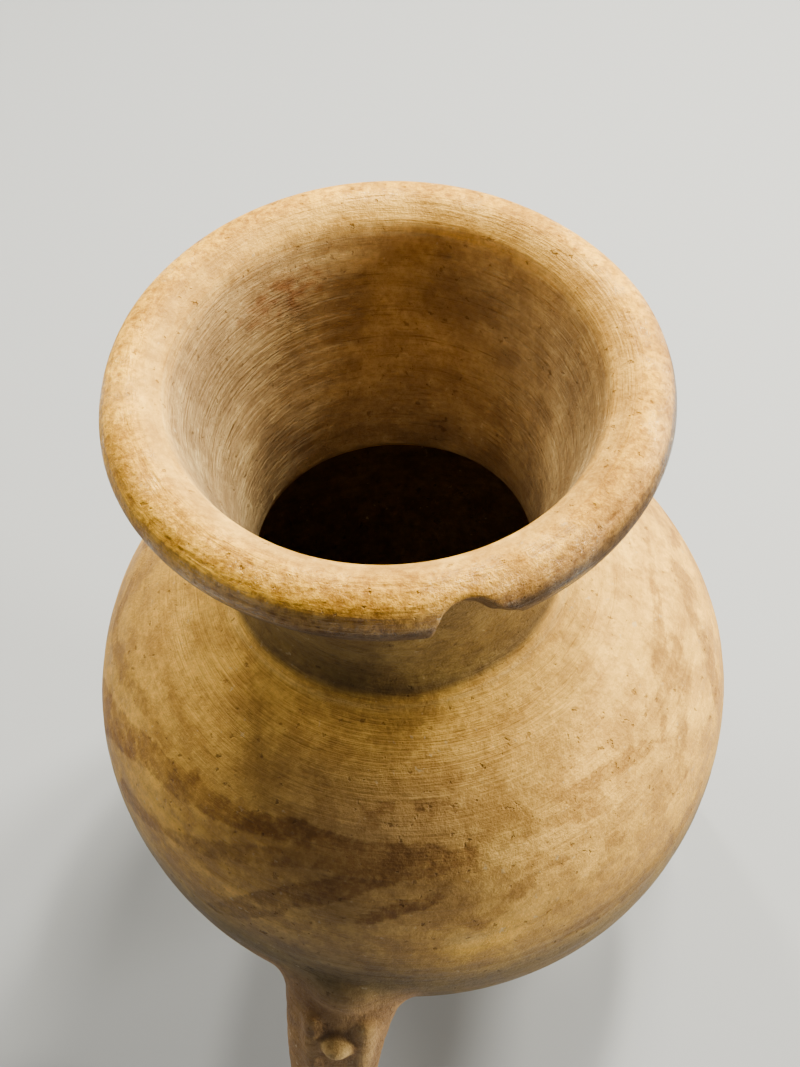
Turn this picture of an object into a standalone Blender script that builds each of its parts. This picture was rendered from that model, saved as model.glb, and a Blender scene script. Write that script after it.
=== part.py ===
"""Painted pottery jar: a globular body with a funnel neck and a thick rolled rim, on modelled tripod legs.

One fired-clay piece, hollow, with its true wall. Units are metres, +Z is up and the ground is z = 0. The front
leg points to -Y. The origin is the bottom centre of the bounding box.
"""

import math

import bmesh
import bpy
from mathutils import Matrix, Vector

# Body
BODY_RADIUS = 0.1100
SHOULDER_RISE = 0.0870
BELLY_DROP = 0.1060
SHOULDER_FULLNESS = 2.37
BELLY_FULLNESS = 1.95
BODY_WALL = 0.0062
BASE_THICKNESS = 0.0080

# Neck and rim
NECK_RADIUS = 0.0496
NECK_WALL = 0.0058
NECK_RISE = 0.0797
NECK_FLARE = 2.2
NECK_FOOT_SPREAD = 0.0046
NECK_FOOT_RISE = 0.0110
THROAT_FLARE = 1.5
NECK_SHIFT = 0.0037
NECK_SHIFT_ANGLE = math.radians(190)
RIM_RADIUS = 0.0695
RIM_WIDTH = 0.0191
RIM_THICKNESS = 0.0185
RIM_UNDER_ANGLE = math.radians(-110)
LIP_ANGLE = math.radians(163)
THROAT_RISE = 0.0023
MOUTH_FLARE = 0.0015
MOUTH_GAP = 0.0004
NECK_SEAT_SHARE = 0.6
MOUTH_TURN_SHARE = 0.2
MOUTH_REACH_SHARE = 1.35

# Chip in the rim's outer lower edge
CHIP_ANGLE = math.radians(-60)
CHIP_FACE = math.radians(-31)
CHIP_LENGTH = 0.0185
CHIP_DEPTH = 0.0083
CHIP_REACH = 0.0440
CHIP_MARGIN_SHARE = 0.15

# Legs
LEG_COUNT = 3
GROUND_GAP = 0.0420
LEG_WIDTH = 0.0338
LEG_DEPTH = 0.0254
LEG_SINK = 0.0028
FRONT_LEG_SPLAY = 0.0255
REAR_LEG_SPLAY = 0.0145
LEG_SPLAY_DROP = 0.0825
LEG_FLARE = 0.0164
LEG_FLARE_DROP = 0.0172
LEG_LEAN_ASIDE = 0.0064
LEG_ASIDE_DROP = 0.0280
ANKLE_WIDTH = 0.0240
ANKLE_RISE = 0.0300
FOOT_WIDTH = 0.0320
TOE_REACH = 0.0022
SOLE = 0.0015

# Animal face on each leg
FACE_ASIDE = 0.0045
BROW_DROP = 0.0125
BROW_WIDTH = 0.0230
BROW_HEIGHT = 0.0190
BROW_RELIEF = 0.0026
SNOUT_DROP = 0.0370
SNOUT_WIDTH = 0.0132
SNOUT_HEIGHT = 0.0114
SNOUT_RELIEF = 0.0044
PAD_SINK_SHARE = 1.5
LIMB_WIDTH = 0.0070
LIMB_SPREAD = 0.0088
LIMB_TOP_DROP = 0.0270
LIMB_LENGTH = 0.0420
LIMB_CLOSING_SHARE = 0.55
LIMB_SINK_SHARE = 0.2
LIMB_FADE_SHARE = 0.35

# Resolution of the round shapes
TURN_STEPS = 48
BODY_POINTS = 10
NECK_POINTS = 7
NECK_SPACING = 1.4
RIM_POINTS = 10
LEG_POINTS = 14
LEG_SPACING = 1.35
LIMB_POINTS = 6
LEG_ROUND_STEPS = 6
LIMB_ROUND_STEPS = 2
OVAL_TURN_STEPS = 14
OVAL_RING_STEPS = 8
MERGE_DISTANCE = 0.00001
SLOPE_STEP = 0.001
SIDE_LIMIT = 0.98

BELT = GROUND_GAP + BELLY_DROP
CLAY_COLOUR = (0.52, 0.33, 0.155, 1.0)
CLAY_ROUGHNESS = 0.48


def clear_scene():
    for obj in list(bpy.data.objects):
        bpy.data.objects.remove(obj, do_unlink=True)


def new_collection(name):
    collection = bpy.data.collections.new(name)
    bpy.context.scene.collection.children.link(collection)
    return collection


def dome(radius, height, fullness, count):
    """Points (r, z) of a superellipse quarter, from the crown on the axis out to the widest circle."""
    points = []
    for i in range(count + 1):
        angle = 0.5 * math.pi * i / count
        share = 2.0 / fullness
        points.append((radius * math.sin(angle) ** share, height * math.cos(angle) ** share))
    points[0] = (0.0, height)
    points[-1] = (radius, 0.0)
    return points


def vessel_profile(wall, floor):
    """The turned section of the body, crown to underside, drawn in by the wall at the side and the floor below."""
    upper = dome(BODY_RADIUS - wall, SHOULDER_RISE - wall, SHOULDER_FULLNESS, BODY_POINTS)
    lower = dome(BODY_RADIUS - wall, BELLY_DROP - floor, BELLY_FULLNESS, BODY_POINTS)
    below = [(r, -z) for r, z in reversed(lower)]
    return [(r, BELT + z) for r, z in upper + below[1:]]


def shoulder_height(radius):
    """Height of the body's outer surface over the shoulder at this distance from the axis."""
    share = min(radius / BODY_RADIUS, 1.0)
    return BELT + SHOULDER_RISE * (1.0 - share ** SHOULDER_FULLNESS) ** (1.0 / SHOULDER_FULLNESS)


def rim_point(angle):
    """A point (r, z) of the roll's section: angle 0 faces out, a quarter turn faces up."""
    height = shoulder_height(NECK_RADIUS) + NECK_RISE
    return (
        RIM_RADIUS + 0.5 * RIM_WIDTH * math.cos(angle),
        height + 0.5 * RIM_THICKNESS * math.sin(angle),
    )


def mouth_radius(height):
    """Radius of the cone that opens from the throat into the body, at this height."""
    base = shoulder_height(NECK_RADIUS)
    throat = NECK_RADIUS - NECK_WALL
    rate = (NECK_WALL + MOUTH_FLARE) / (THROAT_RISE + MOUTH_REACH_SHARE * BODY_WALL)
    return throat + rate * (base + THROAT_RISE - height)


def neck_profile():
    """The closed section of neck and rim: down the outer side from the crest, then up the inner side."""
    base = shoulder_height(NECK_RADIUS)
    root = base - NECK_SEAT_SHARE * BODY_WALL
    throat = NECK_RADIUS - NECK_WALL
    throat_height = base + THROAT_RISE
    crest = 0.5 * math.pi
    points = []
    for i in range(RIM_POINTS + 1):
        points.append(rim_point(crest + (RIM_UNDER_ANGLE - crest) * i / RIM_POINTS))
    top_r, top_z = points[-1]
    for i in range(1, NECK_POINTS + 1):
        t = (1.0 - i / NECK_POINTS) ** NECK_SPACING
        rise = (top_z - base) * t
        foot = NECK_FOOT_SPREAD * max(1.0 - rise / NECK_FOOT_RISE, 0.0) ** 2
        points.append((NECK_RADIUS + foot + (top_r - NECK_RADIUS) * t ** NECK_FLARE, base + rise))
    points.append((NECK_RADIUS + NECK_FOOT_SPREAD, root))
    points.append((mouth_radius(root), root))
    in_r, in_z = rim_point(LIP_ANGLE)
    for i in range(NECK_POINTS):
        t = i / NECK_POINTS
        points.append((throat + (in_r - throat) * t ** THROAT_FLARE, throat_height + (in_z - throat_height) * t))
    half = RIM_POINTS // 2
    for i in range(half):
        points.append(rim_point(LIP_ANGLE + (crest - LIP_ANGLE) * i / half))
    return points


def turned(name, profile, collection, closed=False):
    """A profile of (r, z) points turned about Z by a Screw modifier."""
    mesh = bpy.data.meshes.new(name)
    edges = [(i, i + 1) for i in range(len(profile) - 1)]
    if closed:
        edges.append((len(profile) - 1, 0))
    mesh.from_pydata([(r, 0.0, z) for r, z in profile], edges, [])
    obj = bpy.data.objects.new(name, mesh)
    collection.objects.link(obj)
    screw = obj.modifiers.new("Turn", "SCREW")
    screw.axis = "Z"
    screw.angle = math.tau
    screw.steps = TURN_STEPS
    screw.render_steps = TURN_STEPS
    screw.use_merge_vertices = True
    screw.merge_threshold = MERGE_DISTANCE
    screw.use_smooth_shade = True
    return obj


def as_helper(obj):
    obj.hide_render = True
    obj.display_type = "WIRE"
    return obj


def leg_face(splay, drop):
    """Distance of a leg's outer face from the body's axis, this far below the widest circle."""
    share = min(max(drop / LEG_SPLAY_DROP, 0.0), 1.0)
    return BODY_RADIUS - LEG_SINK + splay * math.sin(0.5 * math.pi * share)


def leg_lean(splay, drop):
    """Tilt of the outer face from upright at this drop."""
    ahead = leg_face(splay, drop + SLOPE_STEP) - leg_face(splay, drop - SLOPE_STEP)
    return math.atan2(ahead, 2.0 * SLOPE_STEP)


def leg_half_width(drop):
    """Half the leg's width: flared at the root, narrowest at the ankle, wider again at the foot."""
    share = min(drop / (BELT - ANKLE_RISE), 1.0)
    half = 0.5 * (LEG_WIDTH + (ANKLE_WIDTH - LEG_WIDTH) * share * share)
    toe = foot_share(drop)
    return half + LEG_FLARE * math.exp(-drop / LEG_FLARE_DROP) + 0.5 * (FOOT_WIDTH - ANKLE_WIDTH) * toe


def foot_share(drop):
    """0 down to the ankle, then rising to 1 at the ground."""
    share = max(drop - (BELT - ANKLE_RISE), 0.0) / ANKLE_RISE
    return share * share


def leg_aside(drop):
    """Sideways place of the leg's middle line: the root spreads further to the right."""
    return LEG_LEAN_ASIDE * math.exp(-drop / LEG_ASIDE_DROP)


def leg_rows(splay):
    """(x, distance, height, half width) of a leg's sections, from inside the wall to the ground."""
    rows = []
    for i in range(LEG_POINTS):
        drop = (BELT - SOLE) * (i / (LEG_POINTS - 1)) ** LEG_SPACING
        half = leg_half_width(drop)
        face = leg_face(splay, drop) + TOE_REACH * foot_share(drop)
        rows.append((leg_aside(drop), face - half * LEG_DEPTH / LEG_WIDTH, BELT - drop, half))
    rows.append((rows[-1][0], rows[-1][1], 0.0, rows[-1][3]))
    return rows


def face_back(x, drop):
    """How far the leg's round face falls back from its foremost line, this far to the side."""
    half = leg_half_width(drop)
    share = min(abs(x - leg_aside(drop)) / half, SIDE_LIMIT)
    return half * LEG_DEPTH / LEG_WIDTH * (1.0 - math.sqrt(1.0 - share * share))


def tube(name, points, squash, turn, collection):
    """A round bar through (point, half width) rows, squashed along Y, as a closed mesh."""
    curve = bpy.data.curves.new(name, "CURVE")
    curve.dimensions = "3D"
    curve.fill_mode = "FULL"
    curve.use_fill_caps = True
    curve.bevel_depth = 1.0
    curve.bevel_resolution = LEG_ROUND_STEPS if squash < 1.0 else LIMB_ROUND_STEPS
    spline = curve.splines.new("POLY")
    spline.points.add(len(points) - 1)
    for point, ((x, y, z), half) in zip(spline.points, points):
        point.co = (x, y / squash, z, 1.0)
        point.radius = half
    source = bpy.data.objects.new(name + "_path", curve)
    collection.objects.link(source)
    bpy.context.view_layer.update()
    graph = bpy.context.evaluated_depsgraph_get()
    mesh = bpy.data.meshes.new_from_object(source.evaluated_get(graph))
    bpy.data.objects.remove(source, do_unlink=True)
    mesh.name = name
    work = bmesh.new()
    work.from_mesh(mesh)
    bmesh.ops.remove_doubles(work, verts=work.verts, dist=MERGE_DISTANCE)
    bmesh.ops.transform(work, matrix=Matrix.Diagonal((1.0, squash, 1.0, 1.0)), verts=work.verts)
    bmesh.ops.recalc_face_normals(work, faces=work.faces)
    work.to_mesh(mesh)
    work.free()
    obj = bpy.data.objects.new(name, mesh)
    collection.objects.link(obj)
    obj.rotation_euler = (0.0, 0.0, turn)
    return as_helper(obj)


def leg_solid(name, splay, turn, collection):
    points = [((x, -r, z), half) for x, r, z, half in leg_rows(splay)]
    return tube(name, points, LEG_DEPTH / LEG_WIDTH, turn, collection)


def limb_solid(name, splay, side, turn, collection):
    """A ridge down the leg's face beside the snout, drawn in towards the middle and fading out below."""
    points = []
    for i in range(LIMB_POINTS):
        t = i / (LIMB_POINTS - 1)
        drop = LIMB_TOP_DROP + LIMB_LENGTH * t
        x = FACE_ASIDE + side * LIMB_SPREAD * (1.0 - LIMB_CLOSING_SHARE * t * t)
        sink = face_back(x, drop) + LIMB_WIDTH * (LIMB_SINK_SHARE + LIMB_FADE_SHARE * t * t)
        points.append(((x, -(leg_face(splay, drop) - sink), BELT - drop), 0.5 * LIMB_WIDTH))
    return tube(name, points, 1.0, turn, collection)


def oval(name, size, tilt, centre, turn, collection):
    """An ellipsoid of this size, tilted about X and placed at the centre, then turned about Z."""
    mesh = bpy.data.meshes.new(name)
    work = bmesh.new()
    bmesh.ops.create_uvsphere(work, u_segments=OVAL_TURN_STEPS, v_segments=OVAL_RING_STEPS, radius=0.5)
    place = Matrix.Translation(centre) @ Matrix.Rotation(tilt, 4, "X")
    bmesh.ops.transform(work, matrix=place @ Matrix.Diagonal((*size, 1.0)), verts=work.verts)
    work.to_mesh(mesh)
    work.free()
    obj = bpy.data.objects.new(name, mesh)
    collection.objects.link(obj)
    obj.rotation_euler = (0.0, 0.0, turn)
    return as_helper(obj)


def pad(name, splay, turn, drop, width, tall, relief, collection):
    """An oval pad on a leg's outer face, standing out of it by the relief."""
    sink = PAD_SINK_SHARE * relief
    size = (width, 2.0 * (relief + sink), tall)
    face = leg_face(splay, drop) - face_back(FACE_ASIDE, drop)
    centre = Vector((FACE_ASIDE, -(face - sink), BELT - drop))
    return oval(name, size, -leg_lean(splay, drop), centre, turn, collection)


def chip_cutter(name, collection):
    """A long oval scoop through the roll's outer lower edge."""
    margin = CHIP_MARGIN_SHARE * CHIP_DEPTH
    r, z = rim_point(CHIP_FACE)
    out = Vector((0.0, -math.cos(CHIP_FACE), math.sin(CHIP_FACE)))
    centre = Vector((0.0, -r, z)) + margin * out
    size = (CHIP_LENGTH, 2.0 * (CHIP_DEPTH + margin), CHIP_REACH)
    return oval(name, size, -CHIP_FACE, centre, CHIP_ANGLE + 0.5 * math.pi, collection)


def combine(obj, other, operation):
    step = obj.modifiers.new(operation.title() + " " + other.name, "BOOLEAN")
    step.object = other
    step.operation = operation
    step.solver = "EXACT"


def reach(obj):
    """How far the helper's points run towards -Y."""
    return max(-(vertex.co.y) for vertex in obj.data.vertices)


def clay():
    material = bpy.data.materials.new("burnished_clay")
    material.use_nodes = True
    shader = material.node_tree.nodes["Principled BSDF"]
    shader.inputs["Base Color"].default_value = CLAY_COLOUR
    shader.inputs["Roughness"].default_value = CLAY_ROUGHNESS
    shader.inputs["Metallic"].default_value = 0.0
    return material


def build():
    clear_scene()
    parts = new_collection("painted_pottery_jar")
    cutters = new_collection("cutters")

    jar = turned("jar", vessel_profile(0.0, 0.0), parts)
    jar.data.materials.append(clay())

    moved = [jar]
    front_reach = 0.0
    for i in range(LEG_COUNT):
        turn = math.tau * i / LEG_COUNT
        splay = FRONT_LEG_SPLAY if i == 0 else REAR_LEG_SPLAY
        pieces = [
            leg_solid(f"leg_{i + 1}", splay, turn, cutters),
            pad(f"brow_{i + 1}", splay, turn, BROW_DROP, BROW_WIDTH, BROW_HEIGHT, BROW_RELIEF, cutters),
            pad(f"snout_{i + 1}", splay, turn, SNOUT_DROP, SNOUT_WIDTH, SNOUT_HEIGHT, SNOUT_RELIEF, cutters),
            limb_solid(f"limb_a_{i + 1}", splay, 1.0, turn, cutters),
            limb_solid(f"limb_b_{i + 1}", splay, -1.0, turn, cutters),
        ]
        for piece in pieces:
            combine(jar, piece, "UNION")
            moved.append(piece)
            front_reach = max(front_reach, reach(piece))

    cavity = as_helper(turned("cavity", vessel_profile(BODY_WALL, BASE_THICKNESS), cutters))
    combine(jar, cavity, "DIFFERENCE")
    moved.append(cavity)

    neck_mid = NECK_RADIUS - 0.5 * NECK_WALL
    base = shoulder_height(NECK_RADIUS)
    over = BELT + SHOULDER_RISE + BODY_WALL
    low = base - MOUTH_REACH_SHARE * BODY_WALL
    turn_height = base - MOUTH_TURN_SHARE * BODY_WALL
    mouth_profile = [
        (0.0, over),
        (neck_mid, over),
        (neck_mid, turn_height),
        (mouth_radius(turn_height) + MOUTH_GAP, turn_height),
        (mouth_radius(low) + MOUTH_GAP, low),
        (0.0, low),
    ]
    mouth = as_helper(turned("mouth", mouth_profile, cutters))
    neck = as_helper(turned("neck", neck_profile(), cutters, closed=True))
    chip = chip_cutter("chip", cutters)
    shift = Vector((math.cos(NECK_SHIFT_ANGLE), math.sin(NECK_SHIFT_ANGLE), 0.0)) * NECK_SHIFT
    for piece in (mouth, neck, chip):
        piece.location = shift
        moved.append(piece)
    combine(jar, mouth, "DIFFERENCE")
    combine(jar, neck, "UNION")
    combine(jar, chip, "DIFFERENCE")

    centring = Vector((0.0, 0.5 * (front_reach - BODY_RADIUS), 0.0))
    for piece in moved:
        piece.location = piece.location + centring


build()
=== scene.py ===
import math
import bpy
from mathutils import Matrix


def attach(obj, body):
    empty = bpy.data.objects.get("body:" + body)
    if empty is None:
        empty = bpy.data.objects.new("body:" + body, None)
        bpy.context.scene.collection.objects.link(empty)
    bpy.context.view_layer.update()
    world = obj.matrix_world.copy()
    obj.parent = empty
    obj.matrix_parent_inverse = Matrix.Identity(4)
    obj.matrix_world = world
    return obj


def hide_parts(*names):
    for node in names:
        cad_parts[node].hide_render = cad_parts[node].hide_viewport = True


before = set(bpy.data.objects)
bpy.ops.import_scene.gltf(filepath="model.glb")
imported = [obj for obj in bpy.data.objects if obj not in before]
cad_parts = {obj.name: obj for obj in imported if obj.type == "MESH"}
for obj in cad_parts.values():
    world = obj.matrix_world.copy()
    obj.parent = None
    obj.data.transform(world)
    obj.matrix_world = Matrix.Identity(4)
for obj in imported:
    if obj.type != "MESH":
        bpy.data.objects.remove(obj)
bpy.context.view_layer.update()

from types import SimpleNamespace

import bpy
import numpy as np
from mathutils import Matrix, Vector

# The visible jar is one fine mesh on the CAD solid's form, with the soft joints and the unevenness of hand-built
# clay. A procedural material reads its colours, brush strokes and wear from layers that zones() stores on it.
# Lengths are in metres and azimuths in degrees from +X round the body's axis, unless a comment says otherwise.

# Sizes as in the part's source: body
BODY_RADIUS = 0.1100
SHOULDER_RISE = 0.0870
BELLY_DROP = 0.1060
SHOULDER_FULLNESS = 2.37
BELLY_FULLNESS = 1.95
BODY_WALL = 0.0062
BASE_THICKNESS = 0.0080

# Neck and rim
NECK_RADIUS = 0.0496
NECK_WALL = 0.0058
NECK_RISE = 0.0797
NECK_FLARE = 2.2
THROAT_FLARE = 1.5
MIDDLE_FLARE = 1.9
NECK_SHIFT = 0.0037
NECK_SHIFT_ANGLE = math.radians(190)
RIM_RADIUS = 0.0695
RIM_WIDTH = 0.0191
RIM_THICKNESS = 0.0185
RIM_UNDER_ANGLE = math.radians(-110)
LIP_ANGLE = math.radians(163)
THROAT_RISE = 0.0023
MOUTH_FLARE = 0.0015
NECK_SEAT_SHARE = 0.6
MOUTH_REACH_SHARE = 1.35

# Chip in the rim's outer lower edge
CHIP_ANGLE = math.radians(-60)
CHIP_FACE = math.radians(-31)
CHIP_LENGTH = 0.0185
CHIP_DEPTH = 0.0083
CHIP_REACH = 0.0440
CHIP_MARGIN_SHARE = 0.15

# Legs, the front one first
GROUND_GAP = 0.0420
LEG_WIDTH = 0.0338
LEG_DEPTH = 0.0254
LEG_SINK = 0.0028
LEG_SPLAY = (0.0255, 0.0145, 0.0145)
LEG_SPLAY_DROP = 0.0825
LEG_FLARE = 0.0164
LEG_FLARE_DROP = 0.0172
LEG_LEAN_ASIDE = 0.0064
LEG_ASIDE_DROP = 0.0280
ANKLE_WIDTH = 0.0240
ANKLE_RISE = 0.0300
FOOT_SPREAD = 0.0080
TOE_REACH = 0.0022

# Animal face on each leg
FACE_ASIDE = 0.0045
BROW_DROP = 0.0125
BROW_WIDTH = 0.0230
BROW_HEIGHT = 0.0190
BROW_RELIEF = 0.0026
SNOUT_DROP = 0.0370
SNOUT_WIDTH = 0.0132
SNOUT_HEIGHT = 0.0114
SNOUT_RELIEF = 0.0044
PAD_SINK_SHARE = 1.5
LIMB_WIDTH = 0.0070
LIMB_SPREAD = 0.0088
LIMB_TOP_DROP = 0.0270
LIMB_LENGTH = 0.0420
LIMB_CLOSING_SHARE = 0.55
LIMB_SINK_SHARE = 0.2
LIMB_FADE_SHARE = 0.35
SLOPE_STEP = 0.001
SIDE_LIMIT = 0.98

# Height of the widest circle, and how far the body's axis stands behind the origin
BELT = GROUND_GAP + BELLY_DROP
AXIS_Y = 0.0122945

# Softness of the joints between the forms
CREASE_FILLET = 0.0150
LIP_EDGE = 0.0010
LEG_FILLET = 0.0052
FACE_FILLET = 0.0022
THROAT_FILLET = 0.0012
CHIP_FILLET = 0.0006
TAIL_FILLET = 0.0030
FOOT_FILLET = 0.0040

# The chip's shallow tail, as shares of the chip's own sizes
TAIL_ALONG_SHARE = 0.45
TAIL_OUT_SHARE = 0.35
TAIL_DEPTH_SHARE = 1.7
TAIL_REACH_SHARE = 0.8

# How far from the chip, and how far above, beside and within the front leg's root, their forms are worked out
CHIP_REGION = 0.04
LEG_REGION = (0.02, 0.07, 0.02)

# The potter's unevenness: how far it goes in and out, and its length along the surface
WOBBLE = 0.00030
WOBBLE_LENGTH = 0.090
RIPPLE = 0.00009
RIPPLE_LENGTH = 0.0065
RIPPLE_SLANT = 0.35
RIPPLE_DRIFT = 1.3
RIPPLE_DRIFT_LENGTH = 0.031
EVEN_FOOT = 0.020
BREAK_ROUGHNESS = 0.00028
BREAK_LENGTH = 0.0045
WAVE_COUNT = 7
WAVE_HEIGHT = 3.7

# Small nicks on the roll: azimuth, degrees round the roll from its outermost line, radius, depth
NICKS = (
    (-118, -72, 0.0026, 0.0011),
    (-111, -66, 0.0018, 0.0007),
    (-72, -58, 0.0030, 0.0008),
    (-30, 20, 0.0016, 0.0004),
    (-160, 100, 0.0020, 0.0003),
    (38, -40, 0.0028, 0.0009),
    (96, 120, 0.0018, 0.0005),
    (150, -30, 0.0032, 0.0007),
)

# Brush strokes on the shoulder: strength, then points of (azimuth in degrees, millimetres above the widest
# circle along the surface, half width in millimetres)
STROKES = (
    (1.0, (-153, 27, 9), (-146, 37, 7), (-133, 50, 5), (-121, 55, 5.5), (-109, 58, 3.5), (-97, 63, 3.5),
     (-85, 61, 4), (-70, 58, 3.5), (-64, 60, 2.5)),
    (0.8, (-137, 20, 5), (-125, 30, 2.5), (-115, 39, 3), (-103, 50, 3), (-88, 59, 5)),
    (0.9, (-87, 58, 7), (-72, 59, 5.5)),
    (1.0, (-111, 13, 5), (-96, 39, 5), (-83, 52, 4), (-70, 60, 2.5)),
    (1.0, (-85, 34, 1.6), (-77, 43, 3), (-70, 46, 1.5)),
    (0.8, (-84, 74, 2), (-77, 76, 2.5), (-65, 76, 1.2)),
    (0.7, (-176, 60, 1.5), (-162, 44, 4), (-148, 55, 4), (-140, 59, 2.5)),
    (1.0, (25, 75, 1.5), (13, 77, 1.5), (-4, 72, 3.7), (-8, 67, 4.6), (-15, 60, 2), (-18, 55, 1.5)),
    (0.9, (1, 67, 2), (-4, 58, 4), (-11, 53, 3), (-17, 44, 3.5), (-18, 37, 2.5)),
    (0.9, (22, 65, 2), (11, 59, 2.2), (5, 46, 4.5), (1, 35, 5)),
    (0.7, (20, 59, 2.7), (17, 55, 3.2)),
    (0.6, (20, 84, 2.2), (13, 83, 2)),
    (0.6, (0, 81, 1.1), (-6, 77, 1.3)),
    (0.8, (-22, 59, 2.4), (-30, 63, 3), (-38, 65, 2.3), (-46, 66, 1)),
    (0.75, (-36, 55, 2.8), (-46, 61, 3), (-55, 62, 2), (-63, 54, 1.7)),
    (0.6, (-37, 41, 3.4), (-44, 33, 2.6)),
    (0.7, (-48, 47, 2.4), (-55, 44, 2.5), (-64, 33, 3)),
    (0.5, (-14, 17, 3.3), (-29, 11, 5), (-48, 10, 3.5)),
    (0.8, (-23, 42, 0.8), (-21, 33, 1.2)),
)

# Strokes that the pigment leaves bare, in the same terms
BARE_STROKES = (
    (1.0, (-116, 17, 9), (-106, 37, 5), (-95, 49, 2), (-87, 54, 0.7)),
    (1.0, (-131, 30, 1.7), (-122, 36, 1.3), (-108, 53, 1), (-98, 57, 0.7)),
    (1.0, (-96, 32, 2.2), (-81, 45, 1.7), (-64, 54, 0.7)),
    (1.0, (-78, 32, 1.8), (-67, 41, 1.2)),
    (1.0, (-164, 37, 3.5), (-149, 48, 2), (-139, 53, 1)),
    (1.0, (-23, 49, 1.4), (-40, 49, 1.6), (-45, 45, 1.3)),
)

# A stroke is followed in steps of degrees, and its strength spreads over millimetres. Far from all strokes the
# distance is FAR_OFF. The paint ends at PAINT_TOP, measured along the surface from the widest circle
STROKE_STEP = 4
STROKE_REACH = 1.5
FAR_OFF = 99.0
PAINT_TOP = 0.105

# The pattern of the seen side is repeated behind, drawn in towards its middle
PATTERN_MIDDLE = -75
BACK_MIDDLE = 105
BACK_SHARE = 0.78

# Clay colours, linear
BUFF = (0.78, 0.465, 0.115)
GOLDEN = (0.93, 0.520, 0.045)
RIM_TAN = (0.60, 0.345, 0.165)
# Darker brown, used mostly as painted shade: on the roll's lower outer face, in the neck's crease and above the
# legs' snouts
RIM_BROWN_AND_SHADE = (0.105, 0.062, 0.038)
LIP_TAN = (0.60, 0.400, 0.200)
NECK_TAN = (0.44, 0.315, 0.195)
NECK_SHADE = (0.19, 0.130, 0.062)
# Painted shade deep in the neck
THROAT_SHADE = (0.20, 0.175, 0.175)
# Painted shade inside the body
HOLLOW_SHADE = (0.200, 0.130, 0.075)
INNER_RED = (0.24, 0.085, 0.030)
RED_WASH = (0.42, 0.205, 0.085)
# Painted shade for the body's underside
UNDERSIDE_SHADE = (0.155, 0.120, 0.072)
# Brown of stains, and of painted shade on the front of the body
BROWN_STAIN_AND_SHADE = (0.31, 0.210, 0.160)
LEG_BROWN = (0.40, 0.235, 0.125)
# Broken clay, darkened as painted shade
BREAK_AND_SHADE = (0.34, 0.200, 0.085)
# Pale clay of scratches, also used as painted highlight on the neck's crease and on the legs' faces
PALE_SCRATCH_AND_HIGHLIGHT = (0.86, 0.620, 0.300)

# Where the tones change: the pale line on the lip in degrees round the roll, the red patch by its azimuth and
# its height above the neck's foot, the crease at that foot by its radius, and the upper edge of the painted
# shade on the rim's outer face in degrees round the roll, which swings with the azimuth as that face turns from
# the light
LIP_LINE = 157
RED_PLACE = (139, 0.0685)
RED_RADIUS = 0.057
CREASE_EDGE = 0.0545
CREASE_LINE = 0.0522
SHADE_EDGE_MIDDLE = 8
SHADE_EDGE_SWING = 34
SHADE_EDGE_TURN = 10

# Stained areas of the body: azimuth, then millimetres above the widest circle, half length and half height,
# then colour and share
STAINS = (
    # The three brown patches on the front are mostly painted shade under the neck and rim, and partly a browner
    # stain.
    (-84, 72, 42, 20, BROWN_STAIN_AND_SHADE, 0.60),
    (-80, 40, 60, 30, BROWN_STAIN_AND_SHADE, 0.50),
    (-94, 8, 36, 16, BROWN_STAIN_AND_SHADE, 0.65),
    (-150, 70, 26, 10, RED_WASH, 0.20),
    (-64, 20, 16, 12, GOLDEN, 0.50),
    (-20, 10, 30, 20, GOLDEN, 0.40),
    (80, 20, 40, 24, BROWN_STAIN_AND_SHADE, 0.40),
    (130, 60, 40, 16, RED_WASH, 0.25),
    (-66, 27, 7, 4, PALE_SCRATCH_AND_HIGHLIGHT, 0.45),
)

# Tones that the material multiplies the clay by, dark and light
CLOUD_TONES = ((0.84, 0.81, 0.78, 1.0), (1.10, 1.10, 1.08, 1.0))
MOTTLE_TONES = ((0.82, 0.79, 0.76, 1.0), (1.13, 1.12, 1.04, 1.0))
RING_TONES = ((0.90, 0.88, 0.86, 1.0), (1.06, 1.07, 1.08, 1.0))
FLECK_TONES = ((0.60, 0.52, 0.43, 1.0), (1.18, 1.19, 1.16, 1.0))
WEAR_TONES = ((0.84, 0.80, 0.77, 1.0), (1.10, 1.10, 1.06, 1.0))
PIGMENT_TONES = ((0.50, 0.40, 0.36, 1.0), (0.60, 0.57, 0.60, 1.0))
BURNT_TONE = (0.52, 0.40, 0.28, 1.0)
GROOVE_TONE = (0.66, 0.60, 0.54, 1.0)
CRUMB_TONE = (0.35, 0.26, 0.20, 1.0)
CHALK = (0.72, 0.58, 0.38, 1.0)

# Soft lamps round the jar: name, azimuth, height angle, diameter, power, colour
WARM = (1.0, 0.93, 0.60)
WHITE = (1.0, 1.0, 1.0)
LAMP_AIM = Vector((0.0, 0.0, 0.2))
LAMP_DISTANCE = 1.3
LAMPS = (
    ("back", 84, 40, 0.30, 19.0, WARM),
    ("right_back", 54, 42, 0.30, 27.0, WARM),
    ("high", 67, 66, 0.12, 19.0, WARM),
    ("left_back", 125, 47, 0.16, 11.0, WARM),
    ("left", 164, 42, 0.40, 9.0, WARM),
    ("right_low", 6, 17, 0.25, 17.0, WARM),
    ("front_left", 235, 62, 0.50, 0.5, WHITE),
)

SKY_STRENGTH = 0.012
FLOOR_HALF = 3.0
FLOOR_COLOUR = (0.385, 0.41, 0.58)
FLOOR_ROUGHNESS = 0.8

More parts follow.
